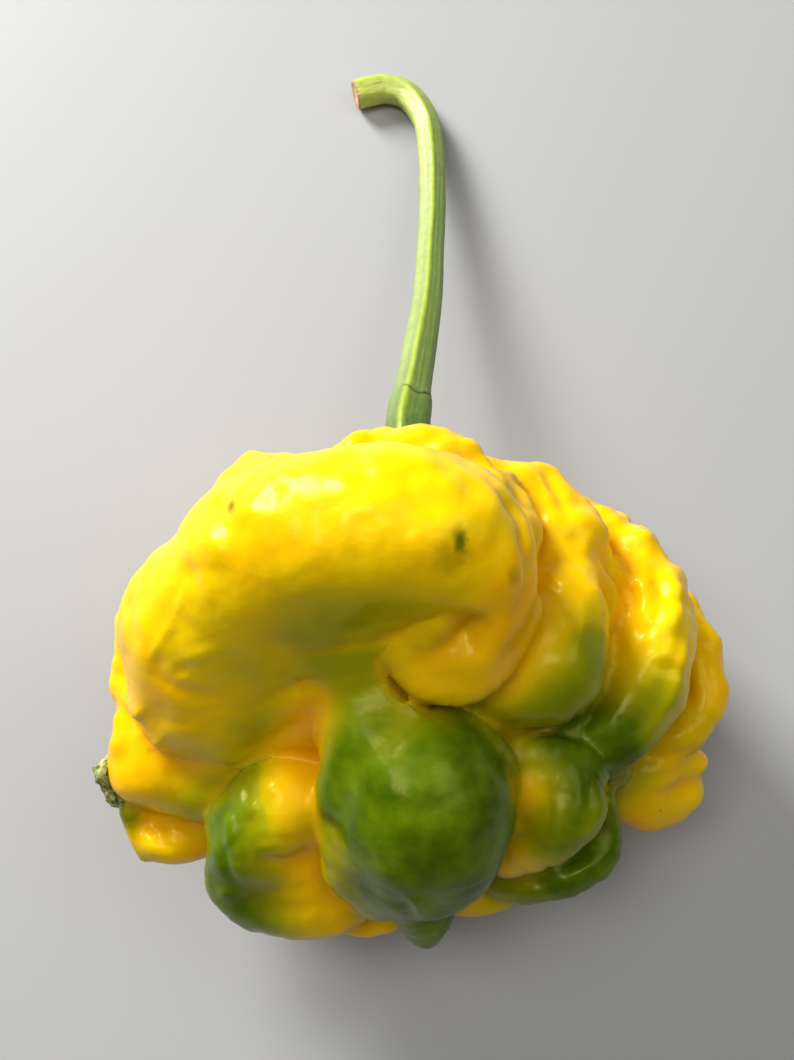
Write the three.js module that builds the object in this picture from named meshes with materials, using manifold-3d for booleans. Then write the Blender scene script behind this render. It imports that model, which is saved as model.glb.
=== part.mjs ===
// Yellow chilli pepper of a very wrinkled, lobed kind, picked with its stem and lying on its side: the pod,
// the green calyx that grips its shoulder, the stem with its cut end, and a dried scrap of flower on one fold.
// Millimetres. +Z is up, +Y runs from the blossom end towards the stem, +X is to the right of that.
import * as THREE from "three";
import { mergeVertices } from "three/addons/utils/BufferGeometryUtils.js";
import Module from "manifold-3d";

const wasm = await Module();
wasm.setup();

// ---- Driving dimensions ----

const GAP = 0.3; // clearance left between neighbouring pieces
const FACET = 2.9; // size of a facet on the pod
const CAP_ROWS = 4; // rows of facets on a fold's rounded end
const LUMP_HEIGHT = 0.5; // how far the skin swells and sinks between its wrinkles
const LUMP_SPACING = 7; // distance from one swelling to the next

const CALYX_THICKNESS = 1.3; // the green cap over the pod's shoulder
const CALYX_RADIUS = 7.2; // to the points of its teeth
const CALYX_WAIST = 5.2; // to the hollows between them
const CALYX_TEETH = 5;
const CALYX_AT = [-0.7, 12, 16.6]; // where the star that outlines it starts
const BOSS_RADIUS = 3.1; // the raised foot that the stem grows out of
const BOSS_END_Y = 19.5; // how far back the foot reaches

const STEM_RIDGES = 5; // blunt ridges along the stem
const STEM_RIDGE_DEPTH = 0.1; // as a share of its half thickness
const STEM_ROWS = 32;
const STEM_AROUND = 15;

// The folds of the pod. Each is a swollen tube: stations [x, y, z, half thickness] along its middle, with the
// pod's own middle at x 0, y 0 and the surface it lies on at z 0.
const FOLDS = {
  heart: [[0, 8, 15.5, 9], [0, 1, 16, 11], [0, -5, 14.5, 9]],
  shoulder_top: [[-3, 12, 23, 4.5], [-8, 10, 24, 5.2], [-11, 6.5, 25, 4.6]],
  shoulder_left: [[-7, 12.5, 19, 4.6], [-12.4, 9, 19.5, 5.3], [-16.6, 2, 19.5, 5]],
  shoulder_right: [[2, 13, 22, 4.5], [7, 12, 21.5, 4.8], [12, 7, 19, 5]],
  flank_left: [[-7, 12, 12.5, 5], [-13.5, 8, 11, 5.8], [-17.5, 0, 10.5, 5.5], [-15, -5, 10.5, 4.6]],
  belly_left: [[-4, 11, 8.5, 5], [-8.5, 5, 6, 6.4], [-9.5, -5, 6.1, 6.3], [-7.5, -11, 9, 4.8]],
  belly_right: [[5, 11, 8.5, 5], [9, 5, 6, 6.4], [9.5, -5, 6, 6.2], [6, -11, 9, 4.8]],
  keel: [[0, 9, 8.5, 6], [0, 1, 7.5, 6.5], [0, -7, 8.5, 6]],
  flank_right: [[8, 12, 12.5, 5], [15, 8, 10, 5.6], [17.5, 0.5, 9.5, 5.2], [14, -6, 9.5, 4.6]],
  crown: [
    [-15.5, 1, 21.5, 6.6], [-15.5, 3.4, 24.5, 6.5], [-13.2, 5.5, 27.5, 6.1], [-10.4, 7.4, 30.5, 6.1],
    [-5.2, 8.2, 33, 6.1], [-0.9, 8.2, 33.5, 6], [2.2, 7.1, 33, 5.4], [3.1, 4.8, 32, 4.5],
    [2.5, 2.2, 31, 3.7], [1.9, 0.5, 30.4, 2.6],
  ],
  crown_knob: [[-8.7, 11.3, 29, 3.6], [-11.3, 11.9, 29, 3.4], [-12.2, 12, 28, 3.1]],
  crown_foot: [
    [-12.6, 4.1, 24, 4.7], [-10.9, 1.1, 24, 4.3], [-10, -0.9, 22.5, 3.7], [-12.2, -2, 20.8, 3.5],
  ],
  hollow: [[-9.7, 4, 27.5, 2.7], [-7.3, 3.2, 28, 3], [-4.9, 2.8, 28.2, 3], [-2.5, 2.6, 28.8, 2.5]],
  hollow_fill: [[-9, 0.5, 24, 2.3], [-8.1, -1.7, 23, 2.4], [-8.8, -3.9, 21, 2.3]],
  neck: [[-5.4, 4.6, 29, 3.6], [-4.8, 1.6, 28, 3.1], [-3.6, -1.6, 26.8, 3.4], [-1.8, -4.5, 26.4, 4.3]],
  lip: [
    [-0.6, 4.7, 31.3, 1.4], [-1, 1.9, 30.8, 1.4], [-0.3, -0.4, 30.6, 1.4], [1, -1.6, 30.3, 1.4],
    [3.1, -1.1, 30, 1.6], [4.8, 1, 29.6, 2.1], [6, 3.7, 29, 2.4],
  ],
  bulb: [[-1.5, -5, 26.2, 4.1], [-0.4, -7.7, 25.5, 5.9], [0.2, -9.3, 24.5, 6.5], [0.1, -11.3, 22.5, 5.9]],
  bulb_cheek: [[-4.1, -5.1, 25.6, 2.5], [-4.9, -7.9, 25, 2.6], [-4.8, -9.3, 24, 2.7]],
  bulb_jowl: [[-5, -12, 22.5, 2.4], [-4.6, -13.3, 21, 2.7], [-2.8, -14.6, 19.5, 2.8]],
  bulb_rim: [
    [2.1, -4.5, 26.5, 1.5], [4.8, -5.3, 25.5, 1.4], [6, -7.8, 23.5, 1.2], [5.6, -10.6, 21.5, 1.3],
  ],
  tail: [
    [-0.6, -14.4, 18, 3.4], [0.2, -16.4, 16.5, 2.6], [0.3, -17.5, 15.5, 1.9], [0.6, -18.4, 14.8, 0.9],
  ],
  rib_a: [
    [9.5, 14.5, 21, 2], [10.2, 11.5, 22, 2.6], [10.3, 7.7, 23.2, 3.2], [10, 4, 24.4, 3.8],
    [9.3, 0.6, 24.6, 4.2], [7, -0.7, 24.8, 3.1], [4.1, -1.5, 25, 1.7],
  ],
  rib_a_edge: [[12.8, 7.7, 21.5, 1.2], [13, 4.1, 22, 1.3], [12.6, 0.8, 22, 1.4], [11.2, -1.7, 21.8, 1.5]],
  rib_b: [
    [14.5, 12.5, 17, 2.4], [17, 9, 18.5, 3], [18.2, 5.6, 19.5, 3.4], [17.7, 2.1, 20, 3.4],
    [16.5, -1.3, 19.5, 3.4], [14.5, -3.7, 19, 2.8], [12.7, -3.8, 18.5, 2.3],
  ],
  rib_c: [
    [20.6, 7.1, 12, 2.2], [22.6, 4.4, 12.5, 2.1], [23, 1.6, 13, 2.1], [22.8, -1.1, 13, 2.2],
    [20.5, -3.4, 13, 2.1], [18, -3.9, 13, 1.8],
  ],
  rib_d: [[22.3, -5.3, 11, 1.5], [19.2, -5.9, 12.5, 1.8], [16.3, -6.5, 13, 1.9]],
  rib_e: [[21.8, -7.5, 9.5, 2.1], [19.6, -8.6, 10, 2.4], [16.9, -8, 11.5, 2.4]],
  right_under: [[12.9, -11.4, 12.5, 2.2], [9.7, -13, 12.5, 2.5], [6.4, -13.6, 13, 2.4]],
  side_fill: [[9.5, -3.9, 19.5, 2], [12.3, -4.3, 18.5, 2.2], [15.2, -5.9, 15.5, 2]],
  right_knuckle: [
    [8.1, -7.2, 20.8, 3.1], [10.7, -7.2, 20.6, 3], [11.3, -9.3, 19.5, 2.7], [10, -10.7, 18, 2.8],
    [7.1, -12.2, 16.5, 2.4],
  ],
  right_knuckle_edge: [
    [7.3, -5.3, 21.8, 1.2], [10.3, -5.6, 21.6, 1.3], [12.6, -6.3, 20.6, 1.3], [12.8, -8, 19.6, 1.1],
    [12.7, -10.1, 18, 1.1],
  ],
  right_rim: [
    [14.1, -8.6, 16, 1.4], [14.3, -10.8, 15, 1.6], [13.2, -12.7, 14.5, 2.1], [10.9, -13.7, 14, 2.4],
    [8.5, -14.2, 13.5, 2.4], [6.7, -14.5, 12.5, 1.9],
  ],
  left_knuckle: [
    [-7.5, -6.9, 20.5, 3], [-9.6, -9.1, 21, 3.7], [-12, -11.2, 20, 3.6], [-12.7, -12.3, 18.5, 3.4],
  ],
  left_heel: [
    [-13.2, -14.2, 16.5, 3.2], [-11, -15.5, 16, 3.2], [-7.8, -15.3, 16, 3.5], [-5.3, -14.8, 15.5, 3.1],
  ],
  left_palm: [[-11.4, -12.7, 17, 3], [-8.9, -12.3, 17.5, 3.2], [-7.2, -12.3, 17, 3.1]],
  left_knuckle_edge: [
    [-10.8, -7.4, 22.3, 0.9], [-12.7, -9.2, 21.8, 1.1], [-14.2, -10.8, 20.3, 1.1],
    [-15, -12.8, 18.8, 1.1], [-14.7, -14.8, 17.6, 1.1], [-13.3, -16.1, 16.4, 1],
  ],
  left_fold: [
    [-9.3, -3.7, 17, 3.5], [-13.2, -5.2, 16.5, 4.7], [-17.6, -5.5, 16, 4.8], [-20.3, -5.6, 16, 4.1],
    [-21.2, -5.3, 16.5, 3],
  ],
  left_bump: [[-22.3, -2.8, 18.5, 1.2], [-22.3, -4.3, 18.2, 1.6]],
  left_spur: [[-14.6, -9.7, 13.5, 2.7], [-18, -10.7, 13.5, 2.6], [-20.4, -11.3, 13.5, 2.1]],
  spur_ridge: [[-22.4, -9.3, 15, 1.1], [-22.1, -11.1, 14.2, 0.9], [-21.5, -12.5, 13.4, 0.9]],
  spur_pinch: [[-21.2, -11.4, 14, 0.6], [-20.1, -11.4, 14, 0.6], [-19.2, -12, 13.5, 0.6]],
  left_cheek: [[-19.9, -3.9, 15.5, 3], [-20.6, -0.2, 17, 3.5], [-20.5, 4.3, 18.5, 3.5]],
  crest: [
    [-5.1, 14.2, 27, 2.5], [-2.1, 14.6, 27.5, 3.2], [1.2, 14.3, 27.5, 3.4], [3.6, 12.3, 28, 2.9],
    [5, 9.6, 28, 2.9],
  ],
  crest_side: [[5.7, 13.2, 26.5, 2.1], [6.5, 10.7, 27.5, 2], [6.5, 7.9, 28, 1.8]],
  rib_a_twin: [[11.1, 13.6, 19.5, 1.6], [11.9, 11, 20.5, 1.7], [12.1, 7.9, 21.5, 1.8]],
  rib_b_back: [[11.3, 15.4, 17, 1.6], [14.7, 13.3, 16, 2], [17, 10.6, 16, 2.1]],
  chin_left: [[-7, -16.6, 13, 2.1], [-4.3, -17.2, 12, 1.8], [-2.4, -17.3, 12, 1.5]],
  chin_right: [[2.4, -15.6, 13, 2], [4.9, -16, 12, 1.3], [6.8, -15.7, 12, 1.2]],

};

// Middle of the stem, from the calyx to the cut end, as [x, y, z, half thickness].
const STEM = [
  [-0.7, 19.9, 16.9, 2], [-0.7, 20.9, 16.8, 1.95], [-0.7, 22.6, 16, 1.92], [-0.5, 24.6, 14.9, 1.9],
  [-0.3, 26.4, 14, 1.7], [0.3, 30.9, 12, 1.62], [1.1, 37.1, 9.4, 1.47], [1.5, 43.6, 7, 1.38],
  [1.8, 50.2, 5, 1.38], [1.7, 56.9, 3.3, 1.42], [1.1, 61.2, 2.4, 1.45], [-0.6, 64.3, 1.9, 1.48],
  [-2.7, 65.3, 1.7, 1.54], [-4.5, 65.1, 1.7, 1.6], [-6.1, 64.6, 1.75, 1.58],
];

// The dried scrap of flower: three short crumpled strands, laid out like the stem.
const SCRAP = [
  [[-23.6, -5.6, 17, 0.5], [-24.5, -6.5, 17.1, 1], [-24.4, -8.2, 16.4, 0.8]],
  [[-24.3, -6.8, 16.4, 0.7], [-23.9, -8.4, 15.6, 0.9], [-23.2, -9, 15, 0.5]],
  [[-24.4, -6.6, 17, 0.6], [-25.4, -6.4, 16.8, 0.4]],
];

// ---- Shaping ----

// How far a point of the skin stands above or below its fold's plain round form.
function lump({ x, y, z }) {
  const k = (2 * Math.PI) / LUMP_SPACING;
  const swell = Math.sin(k * x + 1.3 * Math.sin(0.5 * k * z)) * Math.sin(k * y + 1.1 * Math.sin(0.6 * k * x));
  const wrinkle = Math.sin(1.9 * k * z + 1.7 * Math.sin(0.8 * k * y));
  return LUMP_HEIGHT * (0.7 * swell + 0.3 * wrinkle);
}

// A smooth curve through the stations, and the half thickness along it.
function spineOf(stations) {
  const smooth = (points) => new THREE.CatmullRomCurve3(points, false, "catmullrom", 0.5);
  const girth = smooth(stations.map(([, , , half]) => new THREE.Vector3(half, 0, 0)));
  return {
    curve: smooth(stations.map(([x, y, z]) => new THREE.Vector3(x, y, z))),
    girthAt: (u) => girth.getPoint(u).x,
  };
}

// Bends a capsule or cylinder of radius 1, whose axis is Y from -0.5 to 0.5, along a spine. section(angle)
// scales its outline, and what stands beyond 0.5 either way becomes the rounded end.
function bendAlong(geometry, stations, rows, section = () => 1) {
  const { curve, girthAt } = spineOf(stations);
  const frames = curve.computeFrenetFrames(rows, false);
  const place = geometry.getAttribute("position");
  const at = new THREE.Vector3();
  for (let i = 0; i < place.count; i++) {
    at.fromBufferAttribute(place, i);
    const along = at.y + 0.5;
    const u = THREE.MathUtils.clamp(along, 0, 1);
    const row = Math.round(u * rows);
    const girth = girthAt(u);
    const scale = girth * section(Math.atan2(at.z, at.x));
    const point = curve.getPoint(u)
      .addScaledVector(curve.getTangent(u), (along - u) * girth)
      .addScaledVector(frames.normals[row], at.x * scale)
      .addScaledVector(frames.binormals[row], at.z * scale);
    place.setXYZ(i, point.x, point.y, point.z);
  }
  return geometry;
}

// The same surface with the vertices along its seam and at its poles merged.
function seamless(geometry) {
  const bare = geometry.clone();
  bare.deleteAttribute("normal");
  bare.deleteAttribute("uv");
  return mergeVertices(bare, 1e-4);
}

// A closed solid for cutting and joining, whichever way the geometry's faces wind.
function solidOf(geometry) {
  const merged = seamless(geometry);
  const vertProperties = new Float32Array(merged.getAttribute("position").array);
  const triVerts = new Uint32Array(merged.index.array);
  const solid = new wasm.Manifold(new wasm.Mesh({ numProp: 3, vertProperties, triVerts }));
  if (solid.volume() > 0) return solid;
  return new wasm.Manifold(new wasm.Mesh({ numProp: 3, vertProperties, triVerts: triVerts.reverse() }));
}

// The largest body of a solid, without the crumbs that a cut leaves.
function largestOf(solid) {
  return solid.decompose().reduce((best, one) => (one.volume() > best.volume() ? one : best));
}

function meshOf(name, solid, colour, roughness) {
  const { vertProperties, triVerts } = solid.getMesh();
  const geometry = new THREE.BufferGeometry();
  geometry.setAttribute("position", new THREE.BufferAttribute(new Float32Array(vertProperties), 3));
  geometry.setIndex(new THREE.BufferAttribute(new Uint32Array(triVerts), 1));
  geometry.computeVertexNormals();
  const material = new THREE.MeshStandardMaterial({ color: colour, roughness, metalness: 0 });
  const mesh = new THREE.Mesh(geometry, material);
  mesh.name = name;
  return mesh;
}

// ---- Pod ----

// One fold of the pod as a bent, lumpy capsule, swollen by extra all round.
function fold(stations, extra) {
  const swollen = stations.map(([x, y, z, half]) => [x, y, z, half + extra]);
  const widest = Math.max(...stations.map(([, , , half]) => half));
  const around = Math.max(9, Math.round((2 * Math.PI * widest) / FACET));
  const rows = Math.max(2, Math.round(spineOf(stations).curve.getLength() / FACET));
  const capsule = new THREE.CapsuleGeometry(1, 1, widest < 2.5 ? CAP_ROWS / 2 : CAP_ROWS, around, rows);
  const geometry = seamless(bendAlong(capsule, swollen, rows));
  geometry.computeVertexNormals();
  const place = geometry.getAttribute("position");
  const out = geometry.getAttribute("normal");
  const at = new THREE.Vector3();
  for (let i = 0; i < place.count; i++) {
    at.fromBufferAttribute(place, i);
    const rise = lump(at) * Math.min(1, widest / 4);
    place.setXYZ(i, at.x + out.getX(i) * rise, at.y + out.getY(i) * rise, at.z + out.getZ(i) * rise);
  }
  return solidOf(geometry);
}

function podSolid(extra) {
  return Object.values(FOLDS).map((stations) => fold(stations, extra)).reduce((all, one) => all.add(one));
}

// The pod's weight flattens the folds it lies on, so everything below z 0 is cut away.
const surface = solidOf(new THREE.BoxGeometry(200, 200, 20).translate(0, 0, -10));
const pod = largestOf(podSolid(0).subtract(surface));

// ---- Calyx ----

// The skin of the pod's shoulder, thickened, inside a star with blunt teeth, with a foot for the stem.
const clearOfPod = podSolid(GAP);
const outline = new THREE.Shape();
for (let i = 0; i < CALYX_TEETH * 8; i++) {
  const angle = (2 * Math.PI * i) / (CALYX_TEETH * 8);
  const tooth = Math.pow(0.5 + 0.5 * Math.cos(CALYX_TEETH * angle), 2);
  const reach = CALYX_WAIST + (CALYX_RADIUS - CALYX_WAIST) * tooth;
  const [x, y] = [reach * Math.cos(angle), reach * Math.sin(angle)];
  if (i === 0) outline.moveTo(x, y);
  else outline.lineTo(x, y);
}
const star = new THREE.ExtrudeGeometry(outline, { depth: 12, bevelEnabled: false });
star.rotateX(-Math.PI / 2).translate(...CALYX_AT);
const boss = new THREE.CylinderGeometry(STEM[0][3] + 0.2, BOSS_RADIUS, 4, STEM_AROUND);
boss.translate(CALYX_AT[0], BOSS_END_Y - 2, CALYX_AT[2] + 0.3);
const cap = podSolid(GAP + CALYX_THICKNESS).intersect(solidOf(star));
const calyx = largestOf(cap.add(solidOf(boss)).subtract(clearOfPod));

// ---- Stem ----

const ridged = (angle) => 1 - STEM_RIDGE_DEPTH * (0.5 - 0.5 * Math.cos(STEM_RIDGES * angle));
const rod = new THREE.CylinderGeometry(1, 1, 1, STEM_AROUND, STEM_ROWS);
const stem = solidOf(bendAlong(rod, STEM, STEM_ROWS, ridged)).subtract(surface);

// ---- Scrap of flower ----

const strands = SCRAP.map((stations) =>
  solidOf(bendAlong(new THREE.CapsuleGeometry(1, 1, 3, 8, 3), stations, 3)));
const scrap = largestOf(strands.reduce((all, one) => all.add(one)).subtract(clearOfPod));

// ---- Assembly ----

const fruit = new THREE.Group();
fruit.add(
  meshOf("pod", pod, 0xf5c400, 0.22),
  meshOf("calyx", calyx, 0x5f8f2a, 0.45),
  meshOf("stem", stem, 0x8fb544, 0.4),
  meshOf("flower_scrap", scrap, 0x8a8a4a, 0.85),
);

// The origin is the middle of the footprint, on the surface that the fruit lies on.
const box = new THREE.Box3().setFromObject(fruit);
const middle = box.getCenter(new THREE.Vector3());
fruit.position.set(-middle.x, -middle.y, -box.min.z);
const root = new THREE.Group();
root.add(fruit);

export default root;
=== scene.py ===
import math

import bpy
import numpy as np
from mathutils import Matrix, Vector
from mathutils.bvhtree import BVHTree


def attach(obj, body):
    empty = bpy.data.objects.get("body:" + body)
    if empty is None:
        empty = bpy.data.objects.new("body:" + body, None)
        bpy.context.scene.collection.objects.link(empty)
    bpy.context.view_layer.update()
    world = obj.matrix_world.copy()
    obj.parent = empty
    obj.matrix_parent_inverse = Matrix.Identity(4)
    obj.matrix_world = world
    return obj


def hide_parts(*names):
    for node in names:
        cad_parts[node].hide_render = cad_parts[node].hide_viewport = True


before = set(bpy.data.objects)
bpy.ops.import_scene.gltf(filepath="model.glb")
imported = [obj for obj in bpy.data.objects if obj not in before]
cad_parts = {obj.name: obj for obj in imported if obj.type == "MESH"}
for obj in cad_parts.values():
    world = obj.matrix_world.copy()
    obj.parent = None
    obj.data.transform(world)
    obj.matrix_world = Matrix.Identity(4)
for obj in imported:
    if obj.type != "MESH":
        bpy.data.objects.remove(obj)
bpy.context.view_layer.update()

# ======== Pod ========
# A fruit that swelled faster than its skin: fat tubes of flesh that fold over each other and meet in tight
# creases. Every fold is laid down as a tube of spheres, and all of them are drawn together as one skin that
# rounds over each join by its own width. Yellow where it is ripe, green on the blossom-end folds.

MM = 0.001
POD_MIDDLE = np.array((0.352, -23.675, 0))  # mm, from the middle of the footprint on the surface
SKIN_VOXEL = 0.35  # mm, size of the skin's squares
SPHERE_STEP = 0.9  # mm between the spheres of a fold
COLOUR_BLEND = 1.6  # mm over which one fold's colour runs into the next
# A crease's deeper colour is painted orange shade; the same reach sets how far a crease is smoothed.
CREASE_REACH = 1.4  # mm that a crease's deeper colour spreads
TUBE_SIDES = 40  # round each fold, before they are drawn together
SETTLING_ROUNDS = 6  # times that the skin is drawn onto its folds
CREASE_EASING, COLOUR_EASING, HOLLOW_EASING = 8, 10, 60  # rounds of evening out
HOLLOW, HOLLOW_REACH = (-5, 2.5, 28), 6  # mm, where the neck comes out from under the crown
STROKE_STEPS = 40  # points along each drawn groove or ridge
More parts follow.
